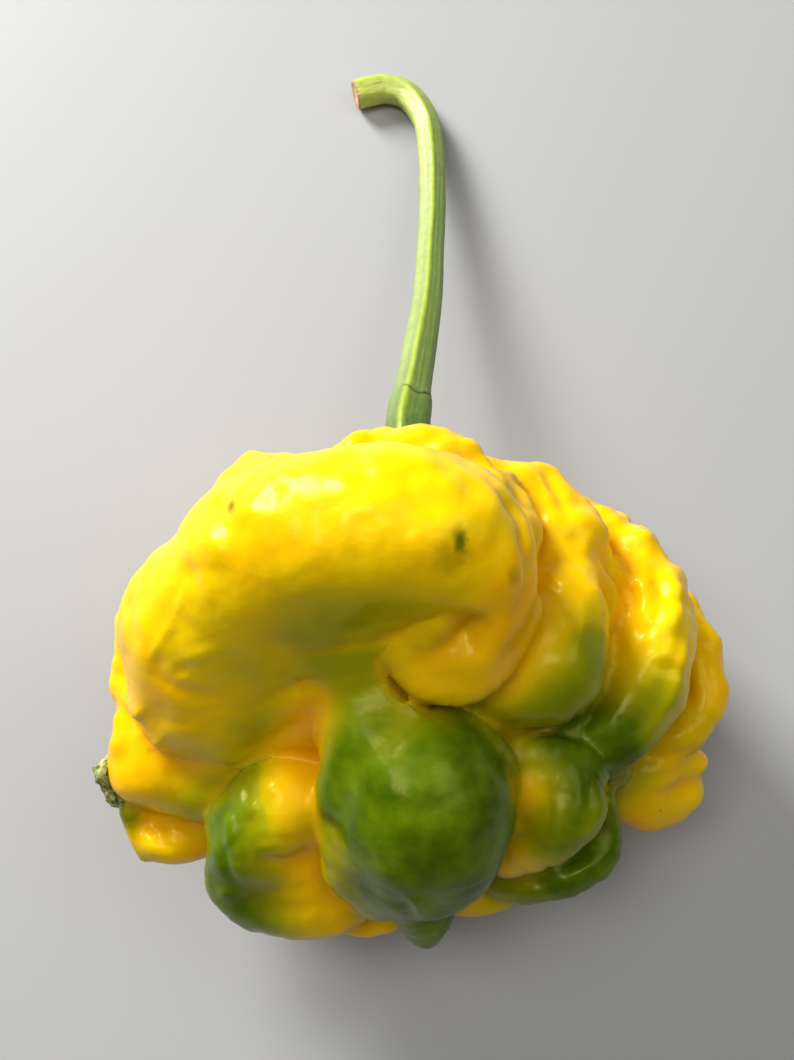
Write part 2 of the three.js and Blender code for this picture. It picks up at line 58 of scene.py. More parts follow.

# name: (rounding where it joins, bumpiness, orange painted shade on it, stations (x, y, z, half thickness,
# green))
FOLDS = {
    "heart": (0, 0.3, 0.35, [(0, 8, 15.5, 9, 0), (0, 1, 16, 11, 0), (0, -5, 14.5, 9, 0)]),
    "shoulder_top": (2, 0.8, 0, [(-3, 12, 23, 4.5, 0), (-8, 10, 24, 5.2, 0), (-11, 6.5, 25, 4.6, 0)]),
    "shoulder_left": (1.5, 0.8, 0, [
        (-7, 12.5, 19, 4.6, 0), (-12.4, 9, 19.5, 5.3, 0), (-16.6, 2, 19.5, 5, 0),
    ]),
    "shoulder_right": (1.5, 0.8, 0, [(2, 13, 22, 4.5, 0), (7, 12, 21.5, 4.8, 0), (12, 7, 19, 5, 0)]),
    "flank_left": (1.2, 0.8, 0, [
        (-7, 12, 12.5, 5, 0), (-13.5, 8, 11, 5.8, 0), (-17.5, 0, 10.5, 5.5, 0), (-15, -5, 10.5, 4.6, 0),
    ]),
    "belly_left": (1, 0.8, 0.35, [
        (-4, 11, 8.5, 5, 0), (-8.5, 5, 6, 6.4, 0), (-9.5, -5, 6.1, 6.3, 0), (-7.5, -11, 9, 4.8, 0),
    ]),
    "belly_right": (1, 0.8, 0.35, [
        (5, 11, 8.5, 5, 0), (9, 5, 6, 6.4, 0), (9.5, -5, 6, 6.2, 0), (6, -11, 9, 4.8, 0),
    ]),
    "keel": (1, 0.8, 0.35, [(0, 9, 8.5, 6, 0), (0, 1, 7.5, 6.5, 0), (0, -7, 8.5, 6, 0)]),
    "flank_right": (1, 0.8, 0, [
        (8, 12, 12.5, 5, 0), (15, 8, 10, 5.6, 0), (17.5, 0.5, 9.5, 5.2, 0), (14, -6, 9.5, 4.6, 0),
    ]),
    "crown": (1, 0.45, 0, [
        (-15.5, 1, 21.5, 6.6, 0.02), (-15.5, 3.4, 24.5, 6.5, 0.02), (-13.2, 5.5, 27.5, 6.1, 0),
        (-10.4, 7.4, 30.5, 6.1, 0), (-5.2, 8.2, 33, 6.1, 0.02), (-0.9, 8.2, 33.5, 6, 0.02),
        (2.2, 7.1, 33, 5.4, 0), (3.1, 4.8, 32, 4.5, 0.02), (2.5, 2.2, 31, 3.7, 0.08),
        (1.9, 0.5, 30.4, 2.6, 0.1),
    ]),
    "crown_knob": (1.2, 0.8, 0, [
        (-8.7, 11.3, 29, 3.6, 0), (-11.3, 11.9, 29, 3.4, 0), (-12.2, 12, 28, 3.1, 0),
    ]),
    "rib_a": (2.5, 0.7, 0, [
        (9.5, 14.5, 21, 2, 0), (10.2, 11.5, 22, 2.6, 0), (10.2, 7.7, 23.4, 3.2, 0),
        (9.9, 4, 24.8, 3.8, 0.05), (9.2, 0.7, 25.2, 4.1, 0.38), (6.9, -0.7, 25.4, 3.2, 0.4),
        (4.3, -1.3, 25.6, 2, 0.15),
    ]),
    "crown_foot": (3, 0.3, 0, [
        (-12.6, 4.1, 24, 4.7, 0.05), (-10.9, 1.1, 24, 4.3, 0.15), (-10, -0.9, 22.5, 3.7, 0.28),
        (-12.2, -2, 20.8, 3.5, 0.2),
    ]),
    "hollow": (5, 0.1, 0, [
        (-9.7, 4, 27.5, 2.7, 0.4), (-7.3, 3.2, 28, 3, 0.55), (-4.9, 2.8, 28.2, 3, 0.62),
        (-2.5, 2.6, 28.8, 2.5, 0.62),
    ]),
    "hollow_fill": (2.5, 0.8, 0.35, [
        (-8.8, 0.3, 25, 2.6, 0.3), (-7.8, -1.8, 24, 2.7, 0.15), (-8.5, -3.9, 21.5, 2.4, 0.05),
    ]),
    "neck": (3.2, 0.1, 0, [
        (-5.4, 4.6, 29, 3.6, 0.6), (-4.8, 1.6, 28, 3.1, 0.78), (-4.1, -1.6, 26.8, 3.2, 0.9),
        (-2.8, -4.6, 26.6, 4, 0.95),
    ]),
    "lip": (1.3, 0.3, 0.35, [
        (-0.6, 4.7, 31.3, 1.4, 0), (-1, 1.9, 30.8, 1.4, 0), (-0.3, -0.4, 30.6, 1.4, 0),
        (1, -1.6, 30.3, 1.4, 0), (3.1, -1.1, 30, 1.6, 0), (4.8, 1, 29.6, 2.1, 0), (6, 3.7, 29, 2.4, 0),
    ]),
    "bulb": (0.8, 0.15, 0, [
        (-1.9, -5.2, 26.3, 4, 0.9), (-0.4, -7.7, 25.5, 5.9, 0.95), (0.2, -9.3, 24.5, 6.5, 0.98),
        (0.1, -11.3, 22.5, 5.9, 1),
    ]),
    "bulb_cheek": (1, 0.2, 0, [
        (-4.2, -5, 26.9, 2.5, 0.85), (-4.9, -7.6, 26.2, 2.5, 0.8), (-4.8, -9.3, 24, 2.7, 0.8),
    ]),
    "bulb_jowl": (2.2, 0.2, 0, [
        (-5, -12, 22.5, 2.4, 0.72), (-4.6, -13.3, 21, 2.7, 0.62), (-2.8, -14.6, 19.5, 2.8, 0.6),
    ]),
    "bulb_rim": (0.6, 0.3, 0, [
        (2.1, -4.5, 26.5, 1.5, 0.8), (4.8, -5.3, 25.5, 1.4, 0.7), (6, -7.8, 23.5, 1.2, 0.62),
        (5.6, -10.6, 21.5, 1.3, 0.65),
    ]),
    "tail": (0.8, 0.6, 0, [
        (-0.6, -14.4, 18, 3.4, 0.95), (0.2, -16.4, 16.5, 2.6, 1), (0.3, -17.5, 15.5, 1.9, 1),
        (0.6, -18.4, 14.8, 0.9, 1),
    ]),
    "rib_a_edge": (1.2, 0.6, 0, [
        (12.8, 7.7, 21.5, 1.2, 0.1), (13, 4.1, 22, 1.3, 0.35), (12.6, 0.8, 22, 1.4, 0.6),
        (11.2, -1.7, 21.8, 1.5, 0.7),
    ]),
    "rib_b": (0.4, 0.9, 0, [
        (14.5, 12.5, 17, 2.4, 0), (17, 9, 18.5, 3, 0), (18.2, 5.6, 19.5, 3.4, 0),
        (17.7, 2.1, 20, 3.4, 0.08), (16.5, -1.3, 19.5, 3.4, 0.38), (14.5, -3.7, 19, 2.8, 0.75),
        (12.7, -3.8, 18.5, 2.3, 0.85),
    ]),
    "rib_c": (0.3, 1.1, 0, [
        (20.6, 7.1, 12, 2.2, 0), (22.6, 4.4, 12.5, 2.1, 0), (23, 1.6, 13, 2.1, 0),
        (22.8, -1.1, 13, 2.2, 0.05), (20.5, -3.4, 13, 2.1, 0.12), (18, -3.9, 13, 1.8, 0.2),
    ]),
    "rib_d": (0.8, 0.8, 0, [
        (22.3, -5.3, 11, 1.5, 0.05), (19.2, -5.9, 12.5, 1.8, 0.05), (16.3, -6.5, 13, 1.9, 0.2),
    ]),
    "rib_e": (1.2, 0.7, 0, [(21.8, -7.5, 9.5, 2.1, 0), (19.6, -8.6, 10, 2.4, 0), (16.9, -8, 11.5, 2.4, 0)]),
    "right_under": (0.8, 0.8, 0, [
        (12.9, -11.4, 12.5, 2.2, 0.95), (9.7, -13, 12.5, 2.5, 0.9), (6.4, -13.6, 13, 2.4, 0.8),
    ]),
    "side_fill": (1.5, 0.8, 0, [
        (9.5, -3.9, 19.5, 2, 0.8), (12.3, -4.3, 18.5, 2.2, 0.9), (15.2, -5.9, 15.5, 2, 0.9),
    ]),
    "right_knuckle": (0.8, 0.6, 0, [
        (8.2, -7.3, 20.2, 3.1, 0.25), (10.4, -7.5, 20.4, 3.1, 0.5), (10.7, -9.2, 20.3, 3.1, 0.55),
        (9.4, -10.6, 19, 3, 0.4), (7, -12, 17, 2.6, 0.2),
    ]),
    "right_knuckle_edge": (0.5, 0.8, 0, [
        (7.3, -5.3, 21.8, 1.2, 0.8), (10.3, -5.6, 21.6, 1.3, 0.85), (12.6, -6.3, 20.6, 1.3, 0.9),
        (12.8, -8, 19.6, 1.1, 0.9), (12.7, -10.1, 18, 1.1, 0.85),
    ]),
    "right_rim": (0.4, 0.6, 0, [
        (14.1, -8.6, 16, 1.4, 0.9), (14.3, -10.8, 15, 1.6, 1), (13.2, -12.7, 14.5, 2.1, 1),
        (10.9, -13.7, 14, 2.4, 0.9), (8.5, -14.2, 13.5, 2.4, 0.75), (6.7, -14.5, 12.5, 1.9, 0.6),
    ]),
    "left_knuckle": (0.8, 0.6, 0, [
        (-7.5, -6.9, 20.5, 3, 0.08), (-9.6, -9.1, 21, 3.7, 0.4), (-12, -11.2, 20, 3.6, 0.9),
        (-12.7, -12.3, 18.5, 3.4, 1),
    ]),
    "left_heel": (1, 0.6, 0, [
        (-13.2, -14.2, 16.5, 3.2, 1), (-11, -15.5, 16, 3.2, 0.75), (-7.8, -15.3, 16, 3.5, 0.3),
        (-5.3, -14.8, 15.5, 3.1, 0.1),
    ]),
    "left_palm": (2, 0.8, 0, [
        (-11.4, -12.7, 17, 3, 0.4), (-8.9, -12.3, 17.5, 3.2, 0.12), (-7.2, -12.3, 17, 3.1, 0.08),
    ]),
    "left_knuckle_edge": (0.6, 0.8, 0, [
        (-10.8, -7.4, 22.3, 0.9, 0.6), (-12.7, -9.2, 21.8, 1.1, 0.95), (-14.2, -10.8, 20.3, 1.1, 1),
        (-15, -12.8, 18.8, 1.1, 1), (-14.7, -14.8, 17.6, 1.1, 1), (-13.3, -16.1, 16.4, 1, 1),
    ]),
    "left_fold": (3.2, 0.7, 0, [
        (-9.3, -3.7, 17, 3.5, 0.1), (-13.2, -5.2, 16.5, 4.7, 0.14), (-17.6, -5.5, 16, 4.8, 0.06),
        (-20.4, -5.5, 16.2, 4.1, 0),
    ]),
    "left_bump": (0.5, 0.8, 0, [(-22.3, -2.8, 18.5, 1.2, 0), (-22.3, -4.3, 18.2, 1.6, 0)]),
    "left_spur": (0.5, 0.4, 0, [
        (-14.6, -9.7, 13.5, 2.7, 0.1), (-18, -10.7, 13.5, 2.6, 0), (-20.4, -11.3, 13.5, 2.1, 0.05),
    ]),
    "spur_ridge": (0.4, 0.3, 0, [
        (-22.4, -9.3, 15, 1.1, 0.4), (-22.1, -11.1, 14.2, 0.9, 0.05), (-21.5, -12.5, 13.4, 0.9, 0.8),
    ]),
    "spur_pinch": (0.25, 0.3, 0, [
        (-21.2, -11.4, 14, 0.6, 0.1), (-20.1, -11.4, 14, 0.6, 0.1), (-19.2, -12, 13.5, 0.6, 0),
    ]),
    "left_cheek": (1, 1, 0, [
        (-19.9, -3.9, 15.5, 3, 0), (-20.6, -0.2, 17, 3.5, 0), (-20.5, 4.3, 18.5, 3.5, 0),
    ]),
    "crest": (1.2, 1, 0, [
        (-5.1, 14.2, 27, 2.5, 0), (-2.1, 14.6, 27.5, 3.2, 0), (1.2, 14.3, 27.5, 3.4, 0),
        (3.6, 12.3, 28, 2.9, 0), (5, 9.6, 28, 2.9, 0),
    ]),
    "crest_side": (0.6, 1, 0, [(5.7, 13.2, 26.5, 2.1, 0), (6.5, 10.7, 27.5, 2, 0), (6.5, 7.9, 28, 1.8, 0)]),
    "rib_a_twin": (0.3, 1.4, 0, [
        (11.1, 13.6, 19.5, 1.6, 0), (11.9, 11, 20.5, 1.7, 0), (12.1, 7.9, 21.5, 1.8, 0),
    ]),
    "rib_b_back": (0.3, 1.5, 0, [(11.3, 15.4, 17, 1.6, 0), (14.7, 13.3, 16, 2, 0), (17, 10.6, 16, 2.1, 0)]),
    "chin_left": (0.5, 0.8, 0.35, [
        (-7, -16.6, 13, 2.1, 0.15), (-4.3, -17.2, 12, 1.8, 0.05), (-2.4, -17.3, 12, 1.5, 0),
    ]),
    "chin_right": (0.5, 0.8, 0.35, [
        (2.4, -15.6, 13, 2, 0.2), (4.9, -16, 12, 1.3, 0.1), (6.8, -15.7, 12, 1.2, 0),
    ]),
}

# Grooves (height below 0) and small ridges in the skin: name: (half width, height, points along it)
STROKES = {
    "skirt_inner_edge": (0.7, -0.45, [
        (-6.9, -2.2, 29), (-8.3, -3.7, 27.5), (-10.7, -4.8, 24.5), (-13, -5.7, 23.1),
    ]),
    "skirt_edge_bump_1": (1.2, 0.4, [(-20.7, -2.6, 24.2), (-20.2, -3.1, 24.1)]),
    "skirt_edge_bump_2": (1.3, 0.45, [(-19.3, -4.4, 22.9), (-18.9, -4.8, 22.8)]),
    "left_crown_bump_1": (1.5, 0.35, [(-15.2, 1, 31.2), (-14.5, 0.1, 30.5)]),
    "left_crown_bump_2": (1.2, 0.28, [(-18.7, 0.9, 29.8), (-18.2, 0.5, 29.8)]),
    "left_crown_bump_3": (1.2, 0.25, [(-17.5, 2.4, 30.8), (-17, 1.9, 30.8)]),
    "left_crown_bump_4": (1.1, 0.22, [(-16.4, 3.9, 32.3), (-16, 3.5, 32.4)]),
    "left_skirt_dent": (1, -0.35, [(-16.8, -0.3, 30), (-16.2, -0.8, 29.6)]),
    "left_knuckle_bump_1": (0.7, 0.4, [(-10.9, -7.9, 24), (-10.3, -8.3, 24.3)]),
    "left_knuckle_bump_2": (0.7, 0.4, [(-12.5, -9.4, 23.9), (-11.9, -9.7, 24.2)]),
    "left_knuckle_bump_3": (0.8, 0.4, [(-13.8, -11.3, 22.9), (-13.5, -11.9, 23.1)]),
    "left_knuckle_bump_4": (0.7, 0.35, [(-14.6, -15, 19.6), (-14, -15.6, 19.4)]),
    "lip_dimple": (0.8, -0.8, [
        (0.3, -0.2, 33), (0.9, -0.2, 33.7), (1.7, 0.3, 34.5), (2.6, 0.9, 34.7), (3.8, 1.3, 34.7),
    ]),
    "lip_hollow": (1.7, -1.1, [(1.7, 0.2, 34.4), (2.8, 0.9, 34.7), (4.1, 2, 35.2)]),
    "lip_dimple_low": (0.9, -0.4, [(1.9, -0.8, 33.1), (2.9, -0.1, 34), (3.9, 0.3, 33.8)]),
    "crown_edge_crease": (0.6, -0.45, [
        (3.7, 11.8, 36.2), (5.3, 10.2, 36.5), (6.2, 8.5, 35.9), (6.6, 6.5, 36.3), (6.9, 4.7, 35.1),
        (6.3, 2.5, 34.1),
    ]),
    "crest_side_crease": (0.5, -0.4, [
        (6, 14.9, 27.6), (7.4, 14, 27.6), (8.5, 12.8, 26), (8.8, 10.3, 26.5), (8.6, 8, 26.9),
    ]),
    "crest_far_crease": (0.5, -0.35, [
        (9.3, 15.7, 24.3), (10.1, 14.4, 24.6), (10.5, 12.9, 25), (10.9, 11.3, 25.8),
    ]),
    "crest_top_crease": (0.7, -0.3, [(-4.7, 12.7, 37.3), (-4, 11, 38.8), (-3.3, 9.6, 39.5)]),
    "rib_a_ridge": (0.55, 0.3, [(8.8, 7.2, 27.1), (9.7, 6.5, 27.7), (10.7, 5.3, 28.3)]),
    "rib_a_shoulder": (0.9, 0.35, [
        (11.4, 5.1, 28.2), (11.3, 3.3, 28.5), (10.8, 1.6, 29), (9.8, 0.3, 29.2),
    ]),
    "rib_a_groove": (0.5, -0.3, [(10.5, 4.7, 28.5), (10.2, 2.8, 29), (9.5, 1.4, 29.3)]),
    "rib_a_groove_top": (0.5, -0.3, [(9.4, 9.5, 26.7), (10.5, 8.6, 26.9), (11.4, 7.9, 26.8)]),
    "rib_b_fold_1": (0.55, 0.35, [
        (12.8, 11.7, 24.4), (14.1, 10.4, 23.4), (16, 9.8, 21.1), (16.9, 9, 21.9),
    ]),
    "rib_b_groove_1": (0.5, -0.4, [
        (13.1, 9.4, 24.7), (14.5, 8.3, 23.5), (15.8, 6.6, 22.2), (16.2, 5.1, 22.2),
    ]),
    "rib_b_fold_2": (0.6, 0.4, [
        (15.9, 8.1, 22.1), (16.9, 6.7, 22.4), (16.8, 5.3, 22.5), (15.7, 4.3, 22.1), (14.9, 3.2, 21.9),
    ]),
    "rib_b_groove_2": (0.45, -0.35, [
        (17.9, 7.9, 22.3), (18.2, 5.9, 22.8), (17.5, 4.1, 23.2), (16.4, 2.8, 23),
    ]),
    "rib_b_fold_3": (0.6, 0.3, [(19.2, 7.6, 22.2), (19.6, 5.6, 22.8), (18.8, 3.6, 23.3)]),
    "rib_b_groove_3": (0.4, -0.25, [(15.6, 1.7, 22.9), (16.8, 2.1, 23.4), (18.1, 2.7, 23.4)]),
    "rib_b_edge": (0.5, 0.3, [
        (20.3, 3.5, 22.3), (19.3, 0.7, 22.9), (18.5, -1.6, 22.4), (17.1, -3.6, 21.9), (15.4, -5, 21.5),
    ]),
    "rib_c_line_1": (0.35, -0.3, [(21, 4.1, 21.5), (22.7, 0.1, 15.1), (22.2, -2.3, 15)]),
    "rib_c_line_2": (0.35, -0.3, [(23.2, 5.2, 14), (23.5, 2.1, 15.2), (23.6, -0.7, 15)]),
    "rib_c_line_3": (0.35, -0.25, [(20.7, 3, 21.8), (20.4, 0.7, 22), (20.2, -1.4, 20.7)]),
    "rib_d_line_1": (0.4, -0.35, [(15.7, -6.4, 19.5), (18.9, -5.2, 14.4), (21.7, -4.6, 14.4)]),
    "rib_d_line_2": (0.5, -0.2, [(17.1, -7.5, 14.9), (19.5, -6.8, 14.3), (22.9, -5.9, 12.3)]),
    "knob": (0.9, 0.4, [(-19.8, -4.2, 22.3), (-18.6, -4.4, 23.8)]),
    "leg_edge_bump_1": (0.9, 0.4, [(-22.1, -1.9, 20.2), (-20.6, -2.7, 24.2)]),
    "leg_dent_1": (0.8, -0.35, [(-17, -1.6, 28.6), (-15.7, -2.2, 28.3), (-14, -2.3, 28)]),
    "leg_dent_2": (0.8, -0.3, [(-18.7, 0.9, 29.8), (-18.2, -0.4, 28.8), (-17.4, -1.6, 28.4)]),
    "leg_inner_crease": (0.6, -0.4, [
        (-11.2, -2.6, 27.1), (-9.5, -1.8, 28.5), (-7.7, -1.3, 29.4), (-6.9, -1.7, 29.3),
    ]),
    "left_skirt_line_2": (0.8, -0.25, [(-17.8, -6.7, 21), (-15.9, -8, 20.8), (-13.4, -8.3, 23)]),
    "left_crown_groove": (0.8, -0.3, [(-14.1, 10.3, 34.4), (-13, 8.8, 35.8), (-12.1, 7.7, 36.5)]),
    "left_crown_ridge": (0.9, 0.35, [(-14.7, 7.9, 35), (-13.6, 6.9, 35.7), (-12.7, 5.8, 35.8)]),
    "left_crown_groove_2": (0.8, -0.3, [(-17.4, 6.7, 32.1), (-15.9, 5.5, 33.7), (-14.7, 4.6, 34.4)]),
    "knuckle_dimple": (0.9, -0.6, [(-11.6, -13.1, 23.4), (-10.1, -13.5, 22.6), (-8.5, -13.1, 21.1)]),
    "knuckle_line": (0.45, -0.35, [(-14.3, -11.5, 22.2), (-14.1, -13.4, 22.2), (-13.3, -14.7, 20.6)]),
    "knuckle_dent_1": (0.7, -0.3, [(-12.9, -9.9, 23.8), (-11.7, -10.4, 24.3)]),
    "knuckle_bump_1": (0.8, 0.4, [(-14, -10.7, 22.7), (-13.2, -10.4, 23.5)]),
    "knuckle_bump_2": (0.7, 0.35, [(-9.5, -14.3, 20.3), (-8.7, -14.2, 20.2)]),
    "knuckle_low_line": (0.5, -0.3, [(-11.2, -16.2, 19.4), (-9.2, -16.6, 19.5), (-7.2, -16.2, 19.2)]),
    "bulb_notch": (0.8, -0.35, [(-7.5, -10.7, 24.7), (-6.7, -10.7, 25.6), (-5.9, -11, 26.5)]),
    "tail_line_1": (0.45, -0.35, [(-1.4, -15.7, 26.7), (-0.7, -16.9, 24.1)]),
    "tail_line_2": (0.4, 0.3, [(-0.5, -15.5, 27.1), (0.1, -16.8, 24.7)]),
    "tail_line_3": (0.4, -0.3, [(1, -15.6, 26.7), (1.3, -16.6, 24.5)]),
    "right_knuckle_line": (0.5, -0.35, [(12.3, -6.7, 22.7), (12.3, -8.5, 23.3), (12.1, -9.9, 23.1)]),
    "right_knuckle_dent": (1.2, -0.15, [(8.5, -8.5, 23.1), (9.9, -8.9, 23.4), (11, -8.3, 23.4)]),
    "right_rim_line_1": (0.5, -0.3, [(9.2, -13.6, 19.6), (11.5, -13.2, 16.3), (13, -12.3, 16.7)]),
    "right_rim_line_2": (0.45, 0.3, [(9.8, -14.5, 16.2), (11.5, -14.3, 16.3), (13, -13.5, 16.5)]),
    "right_low_line": (0.5, -0.35, [(7.3, -14.9, 15.3), (9.6, -14.8, 16), (11.8, -14, 16.3)]),
    "spur_line_1": (0.45, -0.5, [(-21.5, -10.2, 15.2), (-20.4, -11.1, 15.5), (-19.6, -12.2, 15.7)]),
    "spur_line_2": (0.4, -0.4, [(-19.2, -10.7, 15.9), (-18, -11.4, 15.9), (-17.5, -12.3, 15.3)]),
}

# Places where the ripening runs ahead or behind, and where orange painted shade is added or taken away:
# (where, reach, more green, more orange painted shade)
TOUCHES = [
    ((3, 0.8, 34.6), 1.6, 0.35, 0), ((-5.1, 1.8, 34.4), 4, 0.1, 0), ((-8.1, 1.1, 32.8), 3, 0.06, 0),
    ((-1.5, 3.2, 36.5), 3, 0.02, 0), ((11.9, 1.9, 28.1), 2.4, 0.35, 0), ((9.6, -3.1, 27.7), 2.8, 0.35, 0),
    ((5.8, 1, 33.2), 3.2, -0.4, 0.6), ((6.3, 3.4, 34.8), 2.5, -0.1, 0.5),
    ((-0.5, -2, 31.5), 1.8, -0.3, 0.5), ((17.7, -0.9, 22.9), 2.5, 0.15, 0),
    ((13.3, -5, 21.2), 2.6, 0.25, 0), ((14.2, 5.6, 24.3), 1.8, 0, 0.5), ((12.3, -8.1, 23.2), 2, 0.35, 0),
    ((11.2, -5.3, 22.8), 2.4, 0.25, 0), ((7.8, -8.8, 23), 1.8, -0.35, 0.3),
    ((6.9, -12.3, 20.4), 2.2, -0.35, 0.4), ((10.7, -14, 16.4), 2.2, 0.35, 0),
    ((-14.9, -13, 21.5), 2.4, 0.35, 0), ((-13.2, -10.1, 23.6), 2.2, 0.3, 0),
    ((-12.5, -16, 19.3), 2.6, 0.25, 0), ((-9.2, -8.5, 24.5), 2.2, -0.35, 0.2),
    ((-8.1, -13.6, 20.6), 2.6, -0.3, 0), ((-5.5, -12.8, 25.6), 1.8, -0.2, 0),
    ((6.4, -8.3, 27.1), 1.1, -0.35, 0), ((-22.9, -10.2, 15.6), 0.8, 0.7, 0),
    ((-11.7, -4.4, 24.8), 2.2, 0.25, 0), ((-7.4, -4, 27.8), 2.4, -0.1, 0.6),
    ((-5.6, -16.5, 18.8), 3, -0.1, 0.5), ((17.4, -6.6, 15.1), 2, 0.2, 0),
    ((20.7, -7.7, 12.5), 2.4, 0.14, 0.2), ((14.8, -3, 22.1), 2, 0.3, 0), ((21.7, -2.3, 15), 2.2, 0.25, 0),
    ((19.6, -10.4, 11.3), 3, 0, 0.35), ((-7.6, -4.4, 27.2), 2.2, -0.6, 0.65),
    ((-8.7, -5.5, 23.9), 2, -0.5, 0.5), ((-6.9, -2.5, 28.8), 1.5, -0.3, 0.55),
    ((-21, -10.5, 15.1), 3, 0, -0.4), ((-22.6, -9.5, 16.2), 1.2, 0.35, 0),
    ((-5.6, -5.5, 29.8), 2.2, 0.3, -0.2), ((-5.2, -8.4, 28.6), 2.4, 0.3, 0),
    ((-4.9, -11, 28.6), 2.2, 0.25, 0), ((-2.2, -14.9, 27.2), 2.6, 0.3, 0), ((1.2, -3.8, 29.7), 2, 0.2, 0),
    ((-12.9, -12.3, 23.4), 3, -0.12, 0), ((-12.5, -15.1, 19.9), 3, -0.1, 0),
    ((10, -11.5, 22.6), 2.6, 0.33, 0), ((8.3, -12.5, 21.1), 2, 0.2, 0),
    ((-17.1, -8, 20.3), 4.5, 0.12, 0.25), ((-13.6, -6.7, 22.2), 4, 0.1, 0.1),
    ((17.7, -9.4, 13.2), 2.6, 0.15, 0.3), ((-19.5, -3.3, 24.5), 3, 0.08, 0.15),
]

# Dark green flecks in the skin: (where, half its width and length, how dark)
SPECKS = [
    ((2.2, 6.4, 38.9), (0.5, 0.85), 0.9), ((1.8, 5.3, 38.6), (1.3, 1.1), 0.35),
    ((-12.6, 9.4, 36.3), (0.4, 0.5), 0.8), ((5.7, 4.6, 36.7), (0.5, 0.7), 0.35),
    ((-20, -5.1, 20.3), (0.5, 0.35), 0.8), ((19.5, -9.3, 12.7), (0.13, 0.13), 1),
]


def curve_through(stations, shares):
    """Points of a smooth curve through the stations, at shares from 0 to 1 of the way along it."""
    known = np.array(stations, float)
    last = len(known) - 1
    place = last * np.asarray(shares, float)
    start = np.minimum(np.floor(place).astype(int), last - 1)
    w = (place - start)[:, None]
    ends = np.vstack([2 * known[0] - known[1], known, 2 * known[-1] - known[-2]])
    before, a, b, after = (ends[start + k] for k in range(4))
    slope_a, slope_b = 0.5 * (b - before), 0.5 * (after - a)
    return (2 * a - 2 * b + slope_a + slope_b) * w**3 + (3 * b - 3 * a - 2 * slope_a - slope_b) * w**2 \
        + slope_a * w + a


def spheres_along(stations, step):
    """Centres and half thicknesses of the spheres that fill a fold, about step millimetres apart."""
    length = np.linalg.norm(np.diff(np.array(stations)[:, :3], axis=0), axis=1).sum()
    return curve_through(stations, np.linspace(0, 1, max(8, int(length / step))))


def tube_rings(line, half, around, closed_ends=6):
    """Rings of points along a line, with rounded ends, each ring standing square to the line."""
    ahead = np.gradient(line, axis=0)
    ahead /= np.linalg.norm(ahead, axis=1)[:, None]
    side = np.cross(ahead[0], (0, 0, 1) if abs(ahead[0][2]) < 0.9 else (1, 0, 0))
    sides = []
    for tangent in ahead:
        side = side - tangent * side.dot(tangent)
        side /= np.linalg.norm(side)
        sides.append(side)
    sides = np.array(sides)
    ups = np.cross(ahead, sides)
    turn = np.linspace(0, 2 * math.pi, around, endpoint=False)[None, :, None]
    circle = np.cos(turn) * sides[:, None] + np.sin(turn) * ups[:, None]
    rings = line[:, None] + half[:, None, None] * circle
    lean = np.linspace(0, math.pi / 2, closed_ends + 1)[1:, None, None]

    def end(i, way):
        rim = np.cos(turn) * sides[i] + np.sin(turn) * ups[i]
        return line[i] + half[i] * (np.cos(lean) * rim + way * np.sin(lean) * ahead[i])

    return np.concatenate([end(0, -1)[::-1], rings, end(-1, 1)])


def ring_faces(rings, around, first=0):
    """Four-sided faces between neighbouring rings of points, counted from the first point."""
    grid = first + np.arange(rings * around).reshape(rings, around)
    ahead, beside = grid[:-1], np.roll(grid, -1, axis=1)
    return np.stack([ahead, beside[:-1], beside[1:], grid[1:]], axis=-1).reshape(-1, 4).tolist()


def mesh_piece(name, points_mm, faces):
    """A smooth-shaded mesh object from points in millimetres about the pod's middle."""
    mesh = bpy.data.meshes.new(name)
    mesh.from_pydata(((np.asarray(points_mm, float) + POD_MIDDLE) * MM).tolist(), [], faces)
    mesh.polygons.foreach_set("use_smooth", [True] * len(mesh.polygons))
    piece = bpy.data.objects.new(name, mesh)
    bpy.context.scene.collection.objects.link(piece)
    return piece


def points_of(mesh):
    """The mesh's points in millimetres about the pod's middle."""
    flat = np.empty(len(mesh.vertices) * 3, np.float32)
    mesh.vertices.foreach_get("co", flat)
    return flat.reshape(-1, 3).astype(float) / MM - POD_MIDDLE


def move_points(mesh, points_mm):
    mesh.vertices.foreach_set("co", ((points_mm + POD_MIDDLE) * MM).astype(np.float32).ravel())
    mesh.update()


def outward(mesh):
    """The way out of the skin at each point."""
    flat = np.empty(len(mesh.vertices) * 3, np.float32)
    mesh.vertex_normals.foreach_get("vector", flat)
    return flat.reshape(-1, 3).astype(float)


def paint(mesh, name, values):
    """Keep one value per point for the material to use."""
    mesh.attributes.new(name, "FLOAT", "POINT").data.foreach_set("value", np.asarray(values, np.float32))


def ripple(points, spacing, seed):
    """Smooth random swellings from -1 to 1, about spacing millimetres apart."""
    cell = points / spacing + 31.7 * seed
    low = np.floor(cell).astype(np.int64)
    t = cell - low
    t = t * t * (3 - 2 * t)
    total = 0
    for corner in range(8):
        step = np.array([(corner >> k) & 1 for k in range(3)])
        x, y, z = (low + step).T
        mixed = (x * 374761393 + y * 668265263 + z * 2147483647 + seed * 974711) & 0xFFFFFFFF
        mixed = ((mixed ^ (mixed >> 13)) * 1274126177) & 0xFFFFFFFF
        value = ((mixed ^ (mixed >> 16)) & 0xFFFF) / 32767.5 - 1
        total = total + value * np.prod(np.where(step, t, 1 - t), axis=1)
    return total


